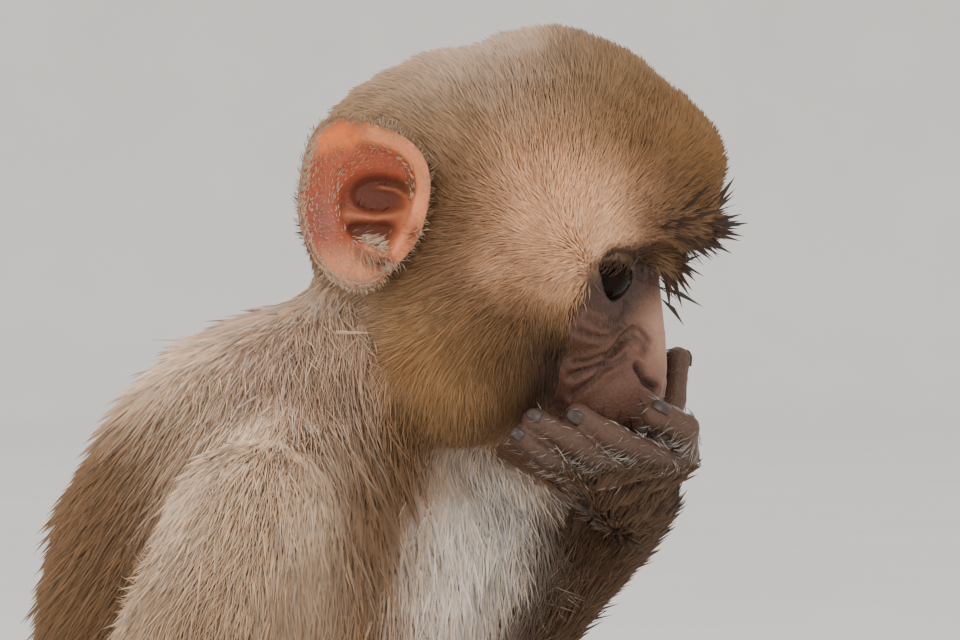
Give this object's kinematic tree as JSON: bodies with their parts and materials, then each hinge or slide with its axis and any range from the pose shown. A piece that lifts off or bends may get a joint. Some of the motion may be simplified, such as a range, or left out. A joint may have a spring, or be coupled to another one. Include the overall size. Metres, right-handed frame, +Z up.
{
  "type": "young rhesus macaque",
  "caption": "Life-size still model of a young rhesus macaque sitting hunched on the floor, leaning on its right hand, with its left hand at its mouth.",
  "frame": {"origin": "middle of the flat that the animal sits on, on the floor", "axes": "+Z up, +X the way the body faces, +Y towards the animal's left"},
  "size_m": [0.3395, 0.2328, 0.2838],
  "materials": {
    "coat": "golden brown fur",
    "pale_coat": "pale grey-beige fur",
    "bare_skin": "wrinkled pinkish brown skin with fine hairs",
    "ear_skin": "thin orange-pink skin with fine hairs",
    "eye": "wet dark brown eye"
  },
  "bodies": {
    "root": {"head": "coat", "jaw": "bare_skin", "neck": "coat", "trunk": "coat", "ear_right": "ear_skin", "ear_left": "ear_skin", "eye_right": "eye", "eye_left": "eye", "upper_arm_right": "pale_coat", "upper_arm_left": "pale_coat", "forearm_right": "coat", "forearm_left": "coat", "hand_right": "bare_skin", "hand_left": "bare_skin", "thigh_right": "pale_coat", "thigh_left": "pale_coat", "shank_right": "coat", "shank_left": "coat", "foot_right": "bare_skin", "foot_left": "bare_skin", "tail_base": "coat", "tail_tip": "coat"}
  },
  "joints": []
}
